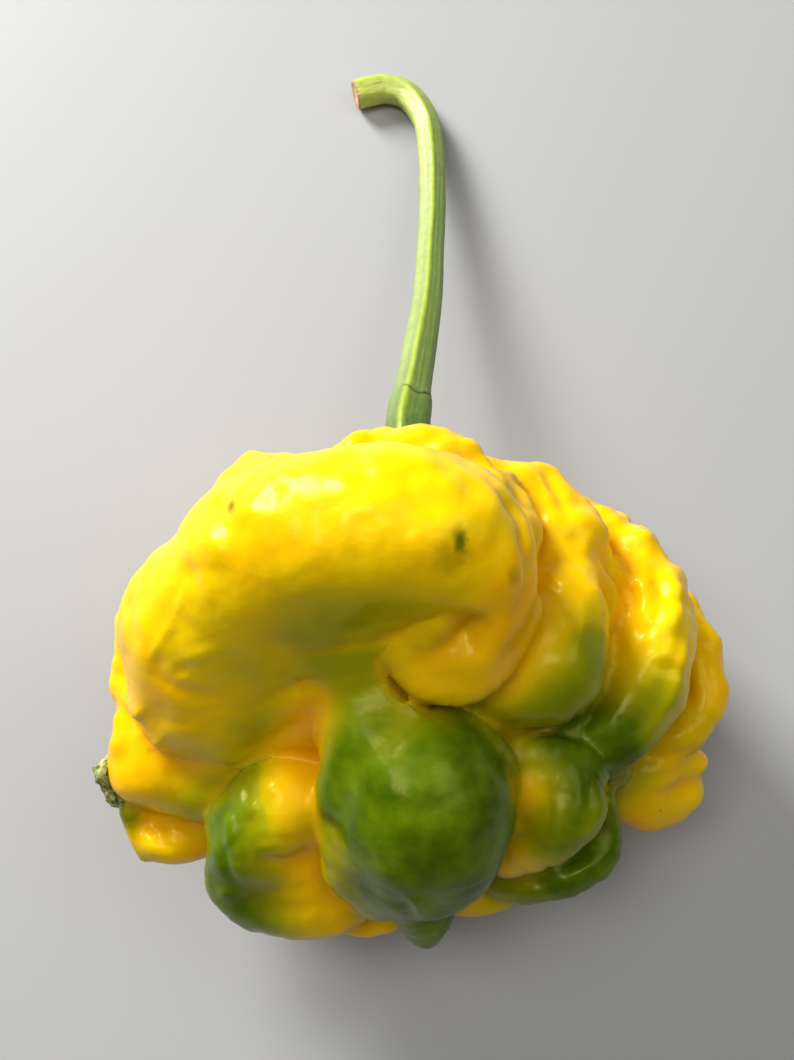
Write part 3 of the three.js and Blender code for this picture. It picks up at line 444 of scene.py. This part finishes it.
def skin_field(points, balls):
    """How far points lie outside the folds, which way is out, and what the folds there look like."""
    here = np.arange(len(points))
    for order, (rounding, bumpy, orange, line) in enumerate(balls):
        square = (points**2).sum(1)[:, None] - 2 * points @ line[:, :3].T + (line[:, :3]**2).sum(1)
        far = np.sqrt(np.maximum(square, 1e-8)) - line[:, 3]
        near = far.argmin(1)
        this = far[here, near]
        away = points - line[near, :3]
        away /= np.linalg.norm(away, axis=1)[:, None] + 1e-9
        looks = np.stack([line[near, 4], np.full(len(near), bumpy), np.full(len(near), orange)], axis=1)
        if order == 0:
            field, out, seen = this, away, looks
            nearest, nearest_out, second, second_out = this, away, this + 99, away
            continue
        share = np.clip(0.5 + 0.5 * (field - this) / max(rounding, 0.05), 0, 1)[:, None]
        wide = np.clip(0.5 + 0.5 * (field - this) / max(COLOUR_BLEND, 2.2 * rounding), 0, 1)[:, None]
        overlap = np.maximum(rounding - np.abs(field - this), 0) / max(rounding, 0.05)
        field = np.minimum(field, this) - overlap**2 * rounding * 0.25
        out = out * (1 - share) + away * share
        seen = seen * (1 - wide) + looks * wide
        closer = this < nearest
        runner_up = np.where(closer, nearest, np.minimum(second, this))
        changed = closer | (this < second)
        second_out = np.where(closer[:, None], nearest_out, np.where(changed[:, None], away, second_out))
        second = runner_up
        nearest_out = np.where(closer[:, None], away, nearest_out)
        nearest = np.minimum(nearest, this)
    facing = np.clip(0.5 - 0.5 * (nearest_out * second_out).sum(1), 0, 1)
    crease = np.exp(-(second - nearest) / CREASE_REACH) * np.clip(facing * 2.2, 0, 1)
    return field, out, seen, crease


def stroke_height(points):
    """How far the drawn grooves and ridges lower or raise each point."""
    height = np.zeros(len(points))
    for width, tall, stations in STROKES.values():
        line = curve_through(stations, np.linspace(0, 1, STROKE_STEPS))
        near = np.all((points > line.min(0) - 3 * width) & (points < line.max(0) + 3 * width), axis=1)
        near = np.flatnonzero(near)
        apart = np.linalg.norm(points[near, None] - line, axis=2)
        fade = np.sin(math.pi * (apart.argmin(1) + 3) / (STROKE_STEPS + 5))**0.6
        height[near] += tall * fade * np.exp(-(apart.min(1) / width)**2)
    return height


def in_parts(points, balls, size=12000):
    """skin_field for a large number of points, a part at a time."""
    found = [skin_field(points[i:i + size], balls) for i in range(0, len(points), size)]
    return [np.concatenate(column) for column in zip(*found)]


tubes, faces = [], []
for rounding, bumpy, orange, stations in FOLDS.values():
    line = spheres_along(stations, 0.5)
    rings = tube_rings(line[:, :3], line[:, 3], TUBE_SIDES)
    start = sum(len(t) for t in tubes)
    faces += ring_faces(len(rings), TUBE_SIDES, start)
    faces.append(list(range(start + TUBE_SIDES - 1, start - 1, -1)))
    faces.append(list(range(start + (len(rings) - 1) * TUBE_SIDES, start + len(rings) * TUBE_SIDES)))
    tubes.append(rings.reshape(-1, 3))
pod = mesh_piece("pod_skin", np.concatenate(tubes), faces)
joined = pod.modifiers.new("one skin", "REMESH")
joined.mode = "VOXEL"
joined.voxel_size = SKIN_VOXEL * MM
bpy.context.view_layer.update()
skin = bpy.data.meshes.new_from_object(pod.evaluated_get(bpy.context.evaluated_depsgraph_get()))
pod.modifiers.clear()
pod.data = skin
skin.polygons.foreach_set("use_smooth", [True] * len(skin.polygons))

balls = [(r, b, o, spheres_along(s, SPHERE_STEP)) for r, b, o, s in FOLDS.values()]
points = points_of(skin)
for _ in range(SETTLING_ROUNDS):
    field, out, seen, crease = in_parts(points, balls)
    steep = np.maximum((out**2).sum(1), 0.3)
    points += out * np.clip(-field / steep, -0.6, 0.6)[:, None]
move_points(skin, points)
normals = outward(skin)
green, bumpy, orange = seen.T

edges = np.array([edge.vertices[:] for edge in skin.edges])
degree = np.bincount(edges.ravel(), minlength=len(points))


def neighbours(values):
    """The mean of what each point's neighbours hold."""
    a, b = edges.T
    return (np.bincount(a, values[b], len(values)) + np.bincount(b, values[a], len(values))) / degree


for place, size, greener, redder in TOUCHES:
    near = np.exp(-((points - place)**2).sum(1) / size**2)
    green += greener * near
    orange += redder * near
green, orange = np.clip(green, 0, 1), np.clip(orange, 0, 1)
for _ in range(CREASE_EASING):
    around = np.stack([neighbours(column) for column in points.T], axis=1)
    points += (around - points) * np.clip(crease - 0.12, 0, 0.75)[:, None]
for _ in range(COLOUR_EASING):
    green = 0.4 * green + 0.6 * neighbours(green)
    orange = 0.4 * orange + 0.6 * neighbours(orange)
hollow = np.exp(-((points - HOLLOW)**2).sum(1) / HOLLOW_REACH**2)
for _ in range(HOLLOW_EASING):
    green += hollow * 0.6 * (neighbours(green) - green)
move_points(skin, points)
normals = outward(skin)

# The skin's own unevenness: broad swellings everywhere, small blisters where it faces the stem or the sides,
# a net of shallow wrinkles, and the grooves and ridges drawn above.
wave = 2 * math.pi / 7  # a swelling every 7 mm
x, y, z = points.T
swell = np.sin(wave * x + 1.3 * np.sin(0.5 * wave * z)) * np.sin(wave * y + 1.1 * np.sin(0.6 * wave * x))
blister = np.maximum(ripple(points, 2.3, 3), 0)**1.5
wrinkle = np.exp(-(ripple(points, 4.2, 9) / 0.14)**2)
drawn = stroke_height(points)
far_right, far_left = 0.03 * np.clip(x - 10, 0, 12) * (y > 0), 0.06 * np.maximum(-x - 9, 0)
uneven = bumpy * np.clip(0.45 + 0.1 * y + far_right + far_left, 0.3, 1.8)
rise = 0.2 * (0.3 + 0.7 * bumpy) * swell
rise += 0.24 * bumpy * ripple(points, 3.4, 1)
rise += 0.42 * uneven * blister
rise += 0.2 * uneven * ripple(points, 1.4, 7)
rise -= 0.17 * bumpy * wrinkle
rise += drawn - 0.25 * crease
rise = 0.5 * rise + 0.5 * neighbours(rise)
points += normals * rise[:, None]
# Grooves and wrinkles join the creases, so that they take the orange painted shade too.
crease = np.clip(crease + np.maximum(-drawn, 0) + 0.12 * bumpy * wrinkle, 0, 1)

# It lies on the surface, and the fruit's weight flattens what touches.
points[:, 2] = np.maximum(points[:, 2], 0)
move_points(skin, points)
paint(skin, "green", green)
# The orange and crease values are where the material paints warm orange shade.
paint(skin, "orange", orange)
paint(skin, "crease", crease)


def new_material(name):
    """An empty node material, with its Principled shader and a short way to add and join nodes."""
    material = bpy.data.materials.new(name)
    material.use_nodes = True
    tree = material.node_tree
    shader = tree.nodes["Principled BSDF"]

    def add(kind, **settings):
        made = tree.nodes.new(kind)
        for key, value in settings.items():
            setattr(made, key, value)
        return made

    return material, tree, shader, add


def set_ramp(ramp, stops):
    """Colour stops [(share, (r, g, b))] on a Color Ramp."""
    elements = ramp.color_ramp.elements
    while len(elements) > 1:
        elements.remove(elements[-1])
    elements[0].position, elements[0].color = stops[0][0], (*stops[0][1], 1)
    for share, colour in stops[1:]:
        elements.new(share).color = (*colour, 1)


def math_node(add, tree, operation, a, b, clamp=False):
    """A sum on values or sockets."""
    made = add("ShaderNodeMath", operation=operation, use_clamp=clamp)
    for socket, value in zip(made.inputs, (a, b)):
        if isinstance(value, (int, float)):
            socket.default_value = value
        else:
            tree.links.new(value, socket)
    return made.outputs[0]


def mix_colour(add, tree, share, a, b, blend="MIX"):
    """Colour a with a share of colour b over it."""
    made = add("ShaderNodeMix", data_type="RGBA", blend_type=blend)
    for socket, value in ((made.inputs[0], share), (made.inputs[6], a), (made.inputs[7], b)):
        if isinstance(value, (int, float)):
            socket.default_value = value
        elif isinstance(value, tuple):
            socket.default_value = (*value, 1)
        else:
            tree.links.new(value, socket)
    return made.outputs[2]


# The grain of living skin, which every piece shares: a cloudy value and the fine relief that goes with it.
grain_group = bpy.data.node_groups.new("living grain", "ShaderNodeTree")
for title, usual in (("Scale", 500), ("Detail", 2), ("Roughness", 0.5), ("Strength", 0.3), ("Depth", 0.0002)):
    socket = grain_group.interface.new_socket(title, in_out="INPUT", socket_type="NodeSocketFloat")
    socket.default_value = usual
grain_group.interface.new_socket("Value", in_out="OUTPUT", socket_type="NodeSocketFloat")
grain_group.interface.new_socket("Normal", in_out="OUTPUT", socket_type="NodeSocketVector")
put = grain_group.nodes.new
given, result = put("NodeGroupInput"), put("NodeGroupOutput")
space, clouds, relief = put("ShaderNodeTexCoord"), put("ShaderNodeTexNoise"), put("ShaderNodeBump")
for source, title, target, socket in (
        (space, "Object", clouds, "Vector"), (given, "Scale", clouds, "Scale"),
        (given, "Detail", clouds, "Detail"), (given, "Roughness", clouds, "Roughness"),
        (clouds, "Fac", relief, "Height"), (given, "Strength", relief, "Strength"),
        (given, "Depth", relief, "Distance"), (clouds, "Fac", result, "Value"),
        (relief, "Normal", result, "Normal")):
    grain_group.links.new(source.outputs[title], target.inputs[socket])


def grain(add, scale, detail=2, roughness=0.5, strength=0.3, depth=0.0002):
    """The grain every piece shares, with its own values: scale is in swellings per metre, depth in metres."""
    made = add("ShaderNodeGroup", node_tree=grain_group)
    for title, value in (("Scale", scale), ("Detail", detail), ("Roughness", roughness),
                         ("Strength", strength), ("Depth", depth)):
        made.inputs[title].default_value = value
    return made.outputs


def attribute(add, name):
    """A value that was painted on the mesh."""
    return add("ShaderNodeAttribute", attribute_name=name).outputs["Fac"]


def uneven_gloss(add, tree, shader, share, least, most):
    """Roughness that runs from least to most with the grain."""
    spread = add("ShaderNodeMapRange")
    for socket, value in zip(list(spread.inputs)[3:5], (least, most)):
        socket.default_value = value
    tree.links.new(share, spread.inputs[0])
    tree.links.new(spread.outputs[0], shader.inputs["Roughness"])


# Ripe skin is yellow, unripe skin is green and the olive between them is half ripe. In the creases and
# hollows the yellow is painted towards orange as shade, and the wax on the skin makes it shine.
HALF_RIPE, WARM_SHADE_ORANGE, FLECK_GREEN = (0.36, 0.34, 0.001), (0.8, 0.3, 0.001), (0.04, 0.085, 0.0005)

skin_paint, tree, shader, add = new_material("pepper skin")
broad, fine = grain(add, 90, 3)["Value"], grain(add, 420, 3)["Value"]
ripe = add("ShaderNodeValToRGB")
set_ramp(ripe, [(0.3, (0.88, 0.46, 0.0)), (0.52, (0.95, 0.57, 0.0)), (0.75, (0.97, 0.64, 0.001))])
tree.links.new(broad, ripe.inputs[0])
unripe = add("ShaderNodeValToRGB")
set_ramp(unripe, [(0.3, (0.04, 0.076, 0.0)), (0.52, (0.07, 0.13, 0.0)), (0.8, (0.14, 0.205, 0.0001))])
tree.links.new(fine, unripe.inputs[0])
patches = math_node(add, tree, "ADD", broad, grain(add, 260)["Value"])
ragged = math_node(add, tree, "MULTIPLY_ADD", patches, 0.34)
ragged.node.inputs[2].default_value = -0.34
greenness = math_node(add, tree, "ADD", attribute(add, "green"), ragged, clamp=True)
half_ripe = mix_colour(add, tree, math_node(add, tree, "MULTIPLY", greenness, 2.0, clamp=True),
                       ripe.outputs[0], HALF_RIPE)
past_half = math_node(add, tree, "MULTIPLY_ADD", greenness, 1.9)
past_half.node.inputs[2].default_value = -0.75
past_half.node.use_clamp = True
flesh = mix_colour(add, tree, past_half, half_ripe, unripe.outputs[0])
yellow_share = math_node(add, tree, "SUBTRACT", 1.0, greenness, clamp=True)
# Painted shade: the yellow is drawn towards orange in the creases and wherever the folds and touches carry
# orange, standing in for the warm light that yellow skin throws into its own hollows.
painted_shade = math_node(add, tree, "MAXIMUM", attribute(add, "crease"), attribute(add, "orange"))
painted_shade = math_node(add, tree, "MULTIPLY", math_node(add, tree, "MULTIPLY", painted_shade, yellow_share), 0.6)
flesh = mix_colour(add, tree, painted_shade, flesh, WARM_SHADE_ORANGE)
where = add("ShaderNodeTexCoord")
frayed = grain(add, 1600)["Value"]
for place, (across, long), strength in SPECKS:
    offset = add("ShaderNodeVectorMath", operation="SUBTRACT")
    tree.links.new(where.outputs["Object"], offset.inputs[0])
    offset.inputs[1].default_value = tuple((np.array(place) + POD_MIDDLE) * MM)
    spread = add("ShaderNodeVectorMath", operation="MULTIPLY")
    tree.links.new(offset.outputs[0], spread.inputs[0])
    spread.inputs[1].default_value = (1 / (across * MM), 1 / (long * MM), 1 / (2 * long * MM))
    apart = add("ShaderNodeVectorMath", operation="LENGTH")
    tree.links.new(spread.outputs[0], apart.inputs[0])
    ragged_edge = math_node(add, tree, "MULTIPLY_ADD", frayed, 0.9)
    tree.links.new(apart.outputs["Value"], ragged_edge.node.inputs[2])
    mask = add("ShaderNodeMapRange", interpolation_type="SMOOTHSTEP")
    for socket, value in zip(list(mask.inputs)[1:5], (0.6, 1.9, strength, 0)):
        socket.default_value = value
    tree.links.new(ragged_edge, mask.inputs[0])
    flesh = mix_colour(add, tree, mask.outputs[0], flesh, FLECK_GREEN)
tree.links.new(flesh, shader.inputs["Base Color"])
shader.inputs["Subsurface Weight"].default_value = 0.06
shader.inputs["Subsurface Radius"].default_value = (1.0, 0.75, 0.05)
shader.inputs["Subsurface Scale"].default_value = 0.0015
shader.inputs["Specular Tint"].default_value = (1, 0.9, 0.2, 1)
shader.inputs["Specular IOR Level"].default_value = 0.34
shader.inputs["Coat Weight"].default_value = 0.045
shader.inputs["Coat Roughness"].default_value = 0.1
uneven_gloss(add, tree, shader, fine, 0.2, 0.4)
tree.links.new(grain(add, 700, strength=0.25, depth=0.0003)["Normal"], shader.inputs["Normal"])
skin.materials.clear()
skin.materials.append(skin_paint)

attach(pod, "root")
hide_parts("pod")

# ======== Calyx ========
# The green cap that grips the pod's shoulder: a thin leathery star with five blunt teeth, pressed onto the
# folds behind, thickest where it turns up into the foot of the stem.

CALYX_MIDDLE = (-0.7, 16.6)  # mm, x and z of its middle
CALYX_REACH, CALYX_WAIST = 7.0, 5.0
CALYX_AROUND, CALYX_RINGS = 120, 34
CALYX_EASING = 14  # rounds of smoothing that lay it over the dips between the folds
STEM_FOOT_Y = 19.75  # mm, where the cap ends and the stem starts

pod_shape = BVHTree.FromPolygons([tuple(p) for p in points], [tuple(p.vertices) for p in skin.polygons])
angles = np.linspace(0, 2 * math.pi, CALYX_AROUND, endpoint=False)
reach = CALYX_WAIST + (CALYX_REACH - CALYX_WAIST) * (0.5 + 0.5 * np.cos(5 * angles))**2
reach = reach + 0.25 * np.sin(3 * angles + 1) + 0.12 * np.sin(11 * angles)
shares = np.linspace(0, 1, CALYX_RINGS)
radius = shares[:, None] * reach
cap_x = CALYX_MIDDLE[0] + radius * np.cos(angles)
cap_z = CALYX_MIDDLE[1] + radius * np.sin(angles)
down = np.empty_like(radius)
for i in range(CALYX_RINGS):
    for j in range(CALYX_AROUND):
        hit = pod_shape.ray_cast(Vector((cap_x[i, j], 40, cap_z[i, j])), Vector((0, -1, 0)))[0]
        down[i, j] = hit.y if hit else 10
for _ in range(CALYX_EASING):
    smooth = down.copy()
    smooth[1:-1] = (down[:-2] + down[2:] + np.roll(down, 1, 1)[1:-1] + np.roll(down, -1, 1)[1:-1]) / 4
    smooth[-1] = (down[-1] + np.roll(down, 1, 1)[-1] + np.roll(down, -1, 1)[-1]) / 3
    smooth[0] = smooth[1].mean()
    down = np.maximum(smooth, down - 0.05)
veins = 0.16 * (0.5 + 0.5 * np.cos(5 * angles))**4 + 0.05 * np.cos(15 * angles)
thick = 0.35 + 0.75 * (1 - shares[:, None]**2) + veins * (1 - shares[:, None])
foot = np.clip((3.4 - radius) / 1.5, 0, 1)
foot = foot * foot * (3 - 2 * foot)
upper = (down + thick) * (1 - foot) + STEM_FOOT_Y * foot
outer = np.stack([cap_x, upper, cap_z], axis=-1)[1:]
inner = np.stack([cap_x, down - 0.15, cap_z], axis=-1)[1:]
cap_points = np.concatenate([outer.reshape(-1, 3), inner[::-1].reshape(-1, 3)])
cap_faces = ring_faces(2 * (CALYX_RINGS - 1), CALYX_AROUND)
cap_faces.append(list(range(CALYX_AROUND)))
cap_faces.append(list(range(len(cap_points) - 1, len(cap_points) - 1 - CALYX_AROUND, -1)))
calyx = mesh_piece("calyx_cap", cap_points, cap_faces)
paint(calyx.data, "vein", np.concatenate([np.tile((0.5 + 0.5 * np.cos(5 * angles))**6, CALYX_RINGS - 1)] * 2))

calyx_paint, tree, shader, add = new_material("calyx green")
leaf = add("ShaderNodeValToRGB")
set_ramp(leaf, [(0.3, (0.07, 0.15, 0.015)), (0.55, (0.12, 0.24, 0.025)), (0.8, (0.2, 0.33, 0.04))])
tree.links.new(grain(add, 500, 4, 0.6)["Value"], leaf.inputs[0])
colour = mix_colour(add, tree, math_node(add, tree, "MULTIPLY", attribute(add, "vein"), 0.5),
                    leaf.outputs[0], (0.26, 0.36, 0.06))
tree.links.new(colour, shader.inputs["Base Color"])
uneven_gloss(add, tree, shader, grain(add, 700, 3)["Value"], 0.36, 0.6)
tree.links.new(grain(add, 900, 4, 0.6, strength=0.5, depth=0.0003)["Normal"], shader.inputs["Normal"])
calyx.data.materials.append(calyx_paint)

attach(calyx, "root")
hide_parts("calyx")

# ======== Stem ========
# A tough, five-ridged stalk, dark green where it leaves the calyx and pale yellow-green where it curls down
# to the surface. It was cut square, and the cut has dried to a pinkish-brown rim round a paler pith.

STEM = [
    (-0.7, 19.6, 16.9, 2.1), (-0.7, 20.9, 16.8, 1.97), (-0.7, 22.6, 16, 1.92), (-0.5, 24.6, 14.9, 1.88),
    (-0.3, 26.4, 14, 1.68), (0.3, 30.9, 12, 1.6), (1.1, 37.1, 9.4, 1.45), (1.5, 43.6, 7, 1.36),
    (1.8, 50.2, 5, 1.36), (1.7, 56.9, 3.3, 1.4), (1.1, 61.2, 2.4, 1.43), (-0.6, 64.3, 1.9, 1.46),
    (-2.7, 65.3, 1.7, 1.52), (-4.5, 65.1, 1.7, 1.58), (-6.1, 64.6, 1.72, 1.56),
]
STEM_AROUND, STEM_ROWS = 96, 420
FIBRE_EASING = 30  # rounds that draw the roughness out into fibres along the stem
COLLAR_Y = 24.9  # mm, where the low collar ends
RIDGE_START, RIDGE_TURN = math.radians(117), math.radians(-48)  # the sharpest ridge, from left to right

along = np.linspace(0, 1, STEM_ROWS)
line = curve_through(STEM, along)
middle, half = line[:, :3], line[:, 3]
ahead = np.gradient(middle, axis=0)
ahead /= np.linalg.norm(ahead, axis=1)[:, None]
right = np.cross(ahead, (0, 0, 1))
right /= np.linalg.norm(right, axis=1)[:, None]
up = np.cross(right, ahead)
turn = np.linspace(0, 2 * math.pi, STEM_AROUND, endpoint=False)
ridge_at = RIDGE_START + RIDGE_TURN * along[:, None]
from_ridge = turn[None, :] - ridge_at
section = 1 - 0.05 * (1 - np.cos(5 * from_ridge)) - 0.004 * (1 - np.cos(15 * from_ridge + 1))
main_ridge = np.exp(-(np.angle(np.exp(1j * from_ridge)) / 0.17)**2)
beside = np.exp(-((np.angle(np.exp(1j * from_ridge)) + 0.34) / 0.16)**2)
section += 0.035 * main_ridge - 0.03 * beside
fibre = np.random.default_rng(11).normal(size=(STEM_ROWS, STEM_AROUND))
for _ in range(FIBRE_EASING):
    fibre[1:-1] = (fibre[:-2] + fibre[1:-1] + fibre[2:]) / 3
section += 0.007 * fibre / fibre.std()
# A low collar near the foot, split on the right where it dried.
past_collar = middle[:, 1:2] - COLLAR_Y - 0.35 * np.sin(2 * from_ridge) - 0.15 * np.sin(5 * from_ridge + 1)
section += 0.035 / (1 + np.exp(past_collar / 0.12))
nick = np.exp(-(past_collar / 0.16)**2) * np.clip(np.cos(from_ridge + 0.7) * 1.6 - 0.3, 0, 1)
section -= 0.06 * nick
reach = half[:, None] * section
rings = middle[:, None] + reach[..., None] * (
    np.cos(turn)[None, :, None] * right[:, None] + np.sin(turn)[None, :, None] * up[:, None])
cut = []
for share, back in (
        (0.985, 0.0), (0.94, -0.1), (0.8, -0.08), (0.66, 0.02), (0.5, 0.12), (0.3, 0.1), (0.12, 0.08)):
    cut.append(middle[-1] + share * (rings[-1] - middle[-1]) - back * ahead[-1])
stem_points = np.concatenate([rings, np.array(cut)])
stem_points[..., 2] = np.maximum(stem_points[..., 2], 0.02)
stem_faces = ring_faces(len(stem_points), STEM_AROUND)
stem_faces.append(list(range(STEM_AROUND))[::-1])
stem_faces.append([(len(stem_points) - 1) * STEM_AROUND + k for k in range(STEM_AROUND)])
stem = mesh_piece("stem_stalk", stem_points.reshape(-1, 3), stem_faces)
extra = len(cut)
rows = len(stem_points)
paint(stem.data, "along", np.repeat(np.concatenate([along, np.ones(extra)]), STEM_AROUND))
paint(stem.data, "nick", np.concatenate([nick.ravel(), np.zeros(extra * STEM_AROUND)]))
paint(stem.data, "ridge", np.concatenate([main_ridge.ravel(), np.zeros(extra * STEM_AROUND)]))
# Painted light: the left flank, which faces the window, is marked so that the material paints it paler.
lit_left_flank = np.clip(np.sin(np.clip(from_ridge, 0, 1.6) / 1.6 * math.pi), 0, 1)
paint(stem.data, "lit_flank", np.concatenate([lit_left_flank.ravel(), np.zeros(extra * STEM_AROUND)]))
cut_mask = np.zeros((rows, STEM_AROUND))
cut_mask[STEM_ROWS - 3:] = 0.5
cut_mask[STEM_ROWS:STEM_ROWS + 3] = 1
cut_mask[STEM_ROWS + 3:] = 0.35
paint(stem.data, "cut", cut_mask.ravel())

stem_paint, tree, shader, add = new_material("stem green")
by_length = add("ShaderNodeValToRGB")
set_ramp(by_length, [(0.0, (0.05, 0.095, 0.01)), (0.25, (0.12, 0.19, 0.035)), (0.6, (0.2, 0.28, 0.06)),
                     (0.85, (0.4, 0.48, 0.1)), (1.0, (0.45, 0.52, 0.07))])
tree.links.new(attribute(add, "along"), by_length.inputs[0])
# Painted light: the paler green of the lit left flank.
lit_flank_colour = add("ShaderNodeValToRGB")
set_ramp(lit_flank_colour, [(0.0, (0.09, 0.15, 0.02)), (0.35, (0.3, 0.39, 0.12)), (0.7, (0.42, 0.5, 0.12)),
                        (1.0, (0.48, 0.56, 0.06))])
tree.links.new(attribute(add, "along"), lit_flank_colour.inputs[0])
colour = mix_colour(add, tree, math_node(add, tree, "MULTIPLY", attribute(add, "lit_flank"), 0.85),
                    by_length.outputs[0], lit_flank_colour.outputs[0])
colour = mix_colour(add, tree, math_node(add, tree, "MULTIPLY", attribute(add, "ridge"), 0.7),
                    colour, (0.4, 0.52, 0.03))
colour = mix_colour(add, tree, math_node(add, tree, "MULTIPLY", attribute(add, "nick"), 0.8),
                    colour, (0.02, 0.025, 0.005))
streaks = add("ShaderNodeValToRGB")
set_ramp(streaks, [(0.35, (0.8, 0.8, 0.76)), (0.65, (1.05, 1.05, 1.05))])
tree.links.new(grain(add, 900, 3)["Value"], streaks.inputs[0])
colour = mix_colour(add, tree, 0.6, colour, streaks.outputs[0], "MULTIPLY")
cut_colour = add("ShaderNodeValToRGB")
set_ramp(cut_colour, [(0.0, (0.4, 0.5, 0.1)), (0.35, (0.55, 0.42, 0.2)), (0.6, (0.45, 0.25, 0.13)),
                      (1.0, (0.5, 0.27, 0.17))])
tree.links.new(attribute(add, "cut"), cut_colour.inputs[0])
colour = mix_colour(add, tree, math_node(add, tree, "MULTIPLY", attribute(add, "cut"), 3.0, clamp=True),
                    colour, cut_colour.outputs[0])
tree.links.new(colour, shader.inputs["Base Color"])
uneven_gloss(add, tree, shader, grain(add, 800, 3)["Value"], 0.3, 0.54)
shader.inputs["Subsurface Weight"].default_value = 0.1
shader.inputs["Subsurface Radius"].default_value = (0.6, 0.6, 0.1)
shader.inputs["Subsurface Scale"].default_value = 0.0008
tree.links.new(grain(add, 1500, 3)["Normal"], shader.inputs["Normal"])
stem.data.materials.append(stem_paint)

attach(stem, "root")
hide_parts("stem")

# ======== Scrap of flower ========
# The dried end of the blossom, stuck to the left side of the pod: a crumpled olive-brown rag, pale where its
# edges have dried out.

SCRAP = [
    [(-23.6, -5.6, 17.3, 0.5), (-24.4, -6.4, 17.4, 0.8), (-24.2, -7.5, 16.8, 0.55)],
    [(-24.2, -7.1, 16.7, 0.45), (-23.9, -8.2, 16, 0.75), (-23.4, -8.9, 15.4, 0.45)],
    [(-24.4, -6.5, 17.3, 0.45), (-25.1, -6.2, 17.1, 0.3)],
]
scrap_points, scrap_faces = [], []
for stations in SCRAP:
    line = spheres_along(stations, 0.12)
    rings = tube_rings(line[:, :3], line[:, 3], 28)
    start = sum(len(p) for p in scrap_points)
    scrap_faces += ring_faces(len(rings), 28, start)
    scrap_points.append(rings.reshape(-1, 3))
scrap_points = np.concatenate(scrap_points)
scrap = mesh_piece("flower_scrap_dry", scrap_points, scrap_faces)
crumple = 0.22 * ripple(scrap_points, 0.5, 5) + 0.12 * ripple(scrap_points, 0.22, 6) - 0.1
move_points(scrap.data, scrap_points + outward(scrap.data) * crumple[:, None])

scrap_paint, tree, shader, add = new_material("dried flower")
dry = add("ShaderNodeValToRGB")
set_ramp(dry, [(0.36, (0.06, 0.07, 0.012)), (0.5, (0.26, 0.28, 0.06)), (0.62, (0.6, 0.6, 0.28))])
tree.links.new(grain(add, 1800, 4, 0.7)["Value"], dry.inputs[0])
tree.links.new(dry.outputs[0], shader.inputs["Base Color"])
uneven_gloss(add, tree, shader, grain(add, 1200, 3)["Value"], 0.7, 1.0)
tree.links.new(grain(add, 2500, 4, 0.7, strength=0.8)["Normal"], shader.inputs["Normal"])
scrap.data.materials.append(scrap_paint)

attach(scrap, "root")
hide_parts("flower_scrap")

# ======== Floor, light and camera ========
# A plain pale table under soft light: a window behind on the left, a weaker panel overhead, a pale wall on
# the right and a little light from all round. The camera looks down on the pepper, its stem pointing away.

floor_mesh = bpy.data.meshes.new("floor")
floor_mesh.from_pydata([(-3, -3, 0), (3, -3, 0), (3, 3, 0), (-3, 3, 0)], [], [(0, 1, 2, 3)])
floor = bpy.data.objects.new("floor", floor_mesh)
bpy.context.scene.collection.objects.link(floor)
floor_paint, tree, shader, add = new_material("pale floor")
shader.inputs["Base Color"].default_value = (0.36, 0.36, 0.355, 1)
shader.inputs["Roughness"].default_value = 0.7
floor_mesh.materials.append(floor_paint)


def panel(name, place, aim, width, height, power, tint):
    light = bpy.data.lights.new(name, "AREA")
    light.shape = "RECTANGLE"
    light.size, light.size_y = width, height
    light.energy = power
    light.color = tint
    lamp = bpy.data.objects.new(name, light)
    bpy.context.scene.collection.objects.link(lamp)
    lamp.location = place
    lamp.rotation_euler = (Vector(aim) - Vector(place)).to_track_quat("-Z", "Y").to_euler()


panel("window", (-0.23, 0.25, 0.21), (0, -0.02, 0.02), 0.14, 0.18, 3.0, (1, 1, 1))
panel("overhead", (-0.12, 0.0, 0.38), (0, -0.02, 0.02), 0.13, 0.17, 0.5, (1, 1, 1))
panel("right wall", (0.15, 0.03, 0.33), (0, -0.02, 0.02), 0.22, 0.22, 0.32, (1, 1, 1))
world = bpy.data.worlds.new("soft room")
world.use_nodes = True
world.node_tree.nodes["Background"].inputs[0].default_value = (1, 1, 1, 1)
world.node_tree.nodes["Background"].inputs[1].default_value = 0.15
bpy.context.scene.world = world

LENS, SENSOR, LOOK_DOWN = 40, 36, math.radians(75)
CAMERA_PLACE = (-1.74, -12.02, 109.92)  # mm, from the pod's middle
camera_data = bpy.data.cameras.new("camera")
camera_data.lens, camera_data.sensor_width = LENS, SENSOR
camera = bpy.data.objects.new("camera", camera_data)
bpy.context.scene.collection.objects.link(camera)
forward = Vector((0, math.cos(LOOK_DOWN), -math.sin(LOOK_DOWN)))
upward = Vector((0, math.sin(LOOK_DOWN), math.cos(LOOK_DOWN)))
stand = Vector((np.array(CAMERA_PLACE) + POD_MIDDLE) * MM)
camera.matrix_world = Matrix((
    (1, upward.x, -forward.x, stand.x),
    (0, upward.y, -forward.y, stand.y),
    (0, upward.z, -forward.z, stand.z),
    (0, 0, 0, 1),
))
camera_data.clip_start = 0.005
bpy.context.scene.camera = camera
bpy.context.scene.view_settings.view_transform = "Standard"
